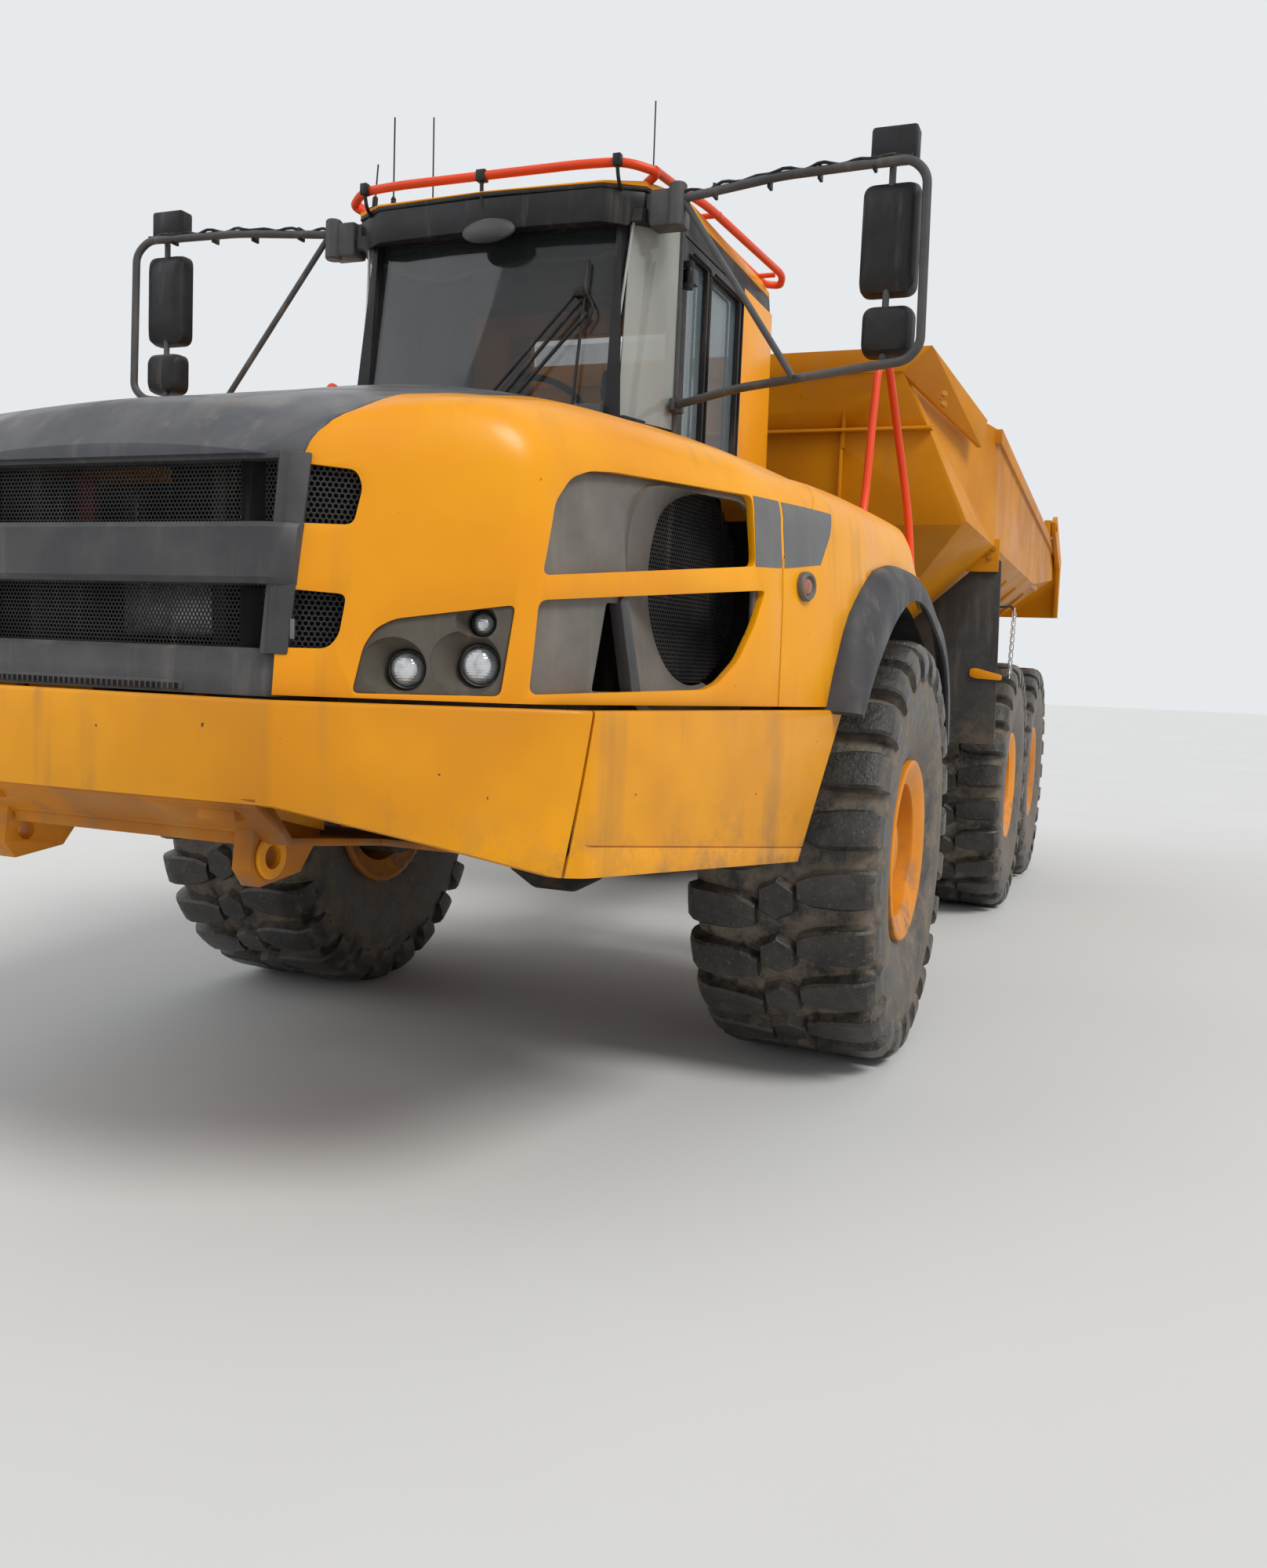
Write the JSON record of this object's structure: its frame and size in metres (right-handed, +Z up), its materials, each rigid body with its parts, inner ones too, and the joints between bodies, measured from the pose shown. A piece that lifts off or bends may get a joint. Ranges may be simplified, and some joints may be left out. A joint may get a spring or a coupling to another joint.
{
  "type": "articulated dump truck",
  "caption": "Three-axle articulated dump truck with a tilting hood, hinged cab door, steering and roll hitch, and a tipping body with tailgate.",
  "frame": {"origin": "middle of the overall box in plan, on the ground under the tyres", "axes": "+X forward, +Y to the machine's left, +Z up"},
  "size_m": [11.263, 3.6556, 4.2639],
  "materials": {
    "amber_paint": "worn amber paint",
    "chassis_grey": "dull dark grey paint",
    "grey_plastic": "dark grey moulded plastic",
    "black_plastic": "black moulded plastic",
    "flap_rubber": "rubber sheet",
    "tyre_rubber": "muddy tyre rubber",
    "clear_glass": "clear cab glass",
    "orange_paint": "orange red paint",
    "engine_iron": "painted cast iron",
    "radiator_metal": "dusty radiator core",
    "exhaust_steel": "heat stained steel",
    "rod_chrome": "hard chrome",
    "seat_cloth": "dark seat cloth"
  },
  "bodies": {
    "front": {"front_frame": "chassis_grey", "front_axle": "chassis_grey", "bumper": "amber_paint", "engine": "engine_iron", "radiator": "radiator_metal", "fenders": "amber_paint", "arch_flares": "flap_rubber", "cab_shell": "amber_paint", "cab_roof": "amber_paint", "visor": "black_plastic", "cab_glass": "clear_glass", "seat": "seat_cloth", "dashboard": "black_plastic", "handrails": "orange_paint", "mirrors": "grey_plastic", "antennas": "black_plastic", "exhaust": "exhaust_steel", "tanks": "amber_paint", "ladder": "chassis_grey"},
    "hood": {"hood": "amber_paint", "hood_top": "grey_plastic", "grille": "grey_plastic", "side_panels": "grey_plastic", "headlamps": "grey_plastic"},
    "door": {"door": "black_plastic", "door_glass": "clear_glass"},
    "wheel_front_left": {"tyre_front_left": "tyre_rubber", "rim_front_left": "amber_paint"},
    "wheel_front_right": {"tyre_front_right": "tyre_rubber", "rim_front_right": "amber_paint"},
    "wheel_mid_left": {"tyre_mid_left": "tyre_rubber", "rim_mid_left": "amber_paint"},
    "wheel_mid_right": {"tyre_mid_right": "tyre_rubber", "rim_mid_right": "amber_paint"},
    "wheel_rear_left": {"tyre_rear_left": "tyre_rubber", "rim_rear_left": "amber_paint"},
    "wheel_rear_right": {"tyre_rear_right": "tyre_rubber", "rim_rear_right": "amber_paint"},
    "hitch": {"hitch": "chassis_grey"},
    "rear": {"rear_frame": "chassis_grey", "rear_axles": "chassis_grey", "bogie_beams": "chassis_grey"},
    "steer_barrel_left": {"steer_barrel_left": "chassis_grey"},
    "steer_barrel_right": {"steer_barrel_right": "chassis_grey"},
    "steer_rod_left": {"steer_rod_left": "rod_chrome"},
    "steer_rod_right": {"steer_rod_right": "rod_chrome"},
    "bed": {"bed": "amber_paint", "mudflaps": "flap_rubber"},
    "tailgate": {"tailgate": "amber_paint"},
    "tip_barrels": {"tip_barrels": "amber_paint"},
    "tip_rods": {"tip_rods": "rod_chrome"}
  },
  "joints": [
    {"name": "hood_open", "type": "hinge", "parent": "front", "child": "hood", "pos_m": [5.5605, 0, 1.6], "axis": [0, 1, 0], "range_deg": [0, 60]},
    {"name": "door_open", "type": "hinge", "parent": "front", "child": "door", "pos_m": [3.1535, 0.774, 2.9], "axis": [0, 0, -1], "range_deg": [0, 70]},
    {"name": "front_left_spin", "type": "hinge", "parent": "front", "child": "wheel_front_left", "pos_m": [2.5305, 1.36, 0.9375], "axis": [0, 1, 0], "continuous": true},
    {"name": "front_right_spin", "type": "hinge", "parent": "front", "child": "wheel_front_right", "pos_m": [2.5305, -1.36, 0.9375], "axis": [0, 1, 0], "continuous": true},
    {"name": "mid_left_spin", "type": "hinge", "parent": "rear", "child": "wheel_mid_left", "pos_m": [-1.9205, 1.36, 0.9375], "axis": [0, 1, 0], "continuous": true},
    {"name": "mid_right_spin", "type": "hinge", "parent": "rear", "child": "wheel_mid_right", "pos_m": [-1.9205, -1.36, 0.9375], "axis": [0, 1, 0], "continuous": true},
    {"name": "rear_left_spin", "type": "hinge", "parent": "rear", "child": "wheel_rear_left", "pos_m": [-3.8605, 1.36, 0.9375], "axis": [0, 1, 0], "continuous": true},
    {"name": "rear_right_spin", "type": "hinge", "parent": "rear", "child": "wheel_rear_right", "pos_m": [-3.8605, -1.36, 0.9375], "axis": [0, 1, 0], "continuous": true},
    {"name": "steer", "type": "hinge", "parent": "front", "child": "hitch", "pos_m": [1.3205, 0, 1.3], "axis": [0, 0, 1], "range_deg": [-45, 45]},
    {"name": "roll", "type": "hinge", "parent": "hitch", "child": "rear", "pos_m": [0.7755, 0, 1.3], "axis": [-1, 0, 0], "range_deg": [-12, 12]},
    {"name": "steer_barrel_left_swing", "type": "hinge", "parent": "front", "child": "steer_barrel_left", "pos_m": [2.1205, 0.3, 1.1], "axis": [0, 0, 1], "range_deg": [-16, 16]},
    {"name": "steer_rod_left_slide", "type": "slide", "parent": "steer_barrel_left", "child": "steer_rod_left", "axis": [-0.9991, 0.0434, 0], "range_m": [-0.3, 0.3]},
    {"name": "steer_barrel_right_swing", "type": "hinge", "parent": "front", "child": "steer_barrel_right", "pos_m": [2.1205, -0.3, 1.1], "axis": [0, 0, 1], "range_deg": [-16, 16]},
    {"name": "steer_rod_right_slide", "type": "slide", "parent": "steer_barrel_right", "child": "steer_rod_right", "axis": [-0.9991, -0.0434, 0], "range_m": [-0.3, 0.3]},
    {"name": "bed_tip", "type": "hinge", "parent": "rear", "child": "bed", "pos_m": [-4.4695, 0, 1.55], "axis": [0, -1, 0], "range_deg": [0, 70]},
    {"name": "tailgate_open", "type": "hinge", "parent": "bed", "child": "tailgate", "pos_m": [-4.6315, 0, 3.22], "axis": [0, 1, 0], "range_deg": [0, 50]},
    {"name": "tip_barrels_swing", "type": "hinge", "parent": "rear", "child": "tip_barrels", "pos_m": [-2.9695, 0, 0.75], "axis": [0, -1, 0], "range_deg": [-2, 3]},
    {"name": "tip_rods_slide", "type": "slide", "parent": "tip_barrels", "child": "tip_rods", "axis": [-0.774, 0, 0.6332], "range_m": [0, 0.75]}
  ],
  "couplings": [
    {"joint": "steer_barrel_left_swing", "follows": "steer", "ratio": 0.29712},
    {"joint": "steer_rod_left_slide", "follows": "steer", "m_per_rad": 0.32204},
    {"joint": "steer_barrel_right_swing", "follows": "steer", "ratio": 0.29712},
    {"joint": "steer_rod_right_slide", "follows": "steer", "m_per_rad": -0.32204},
    {"joint": "tip_barrels_swing", "follows": "bed_tip", "ratio": -0.005972},
    {"joint": "tip_rods_slide", "follows": "bed_tip", "m_per_rad": 0.38702}
  ]
}
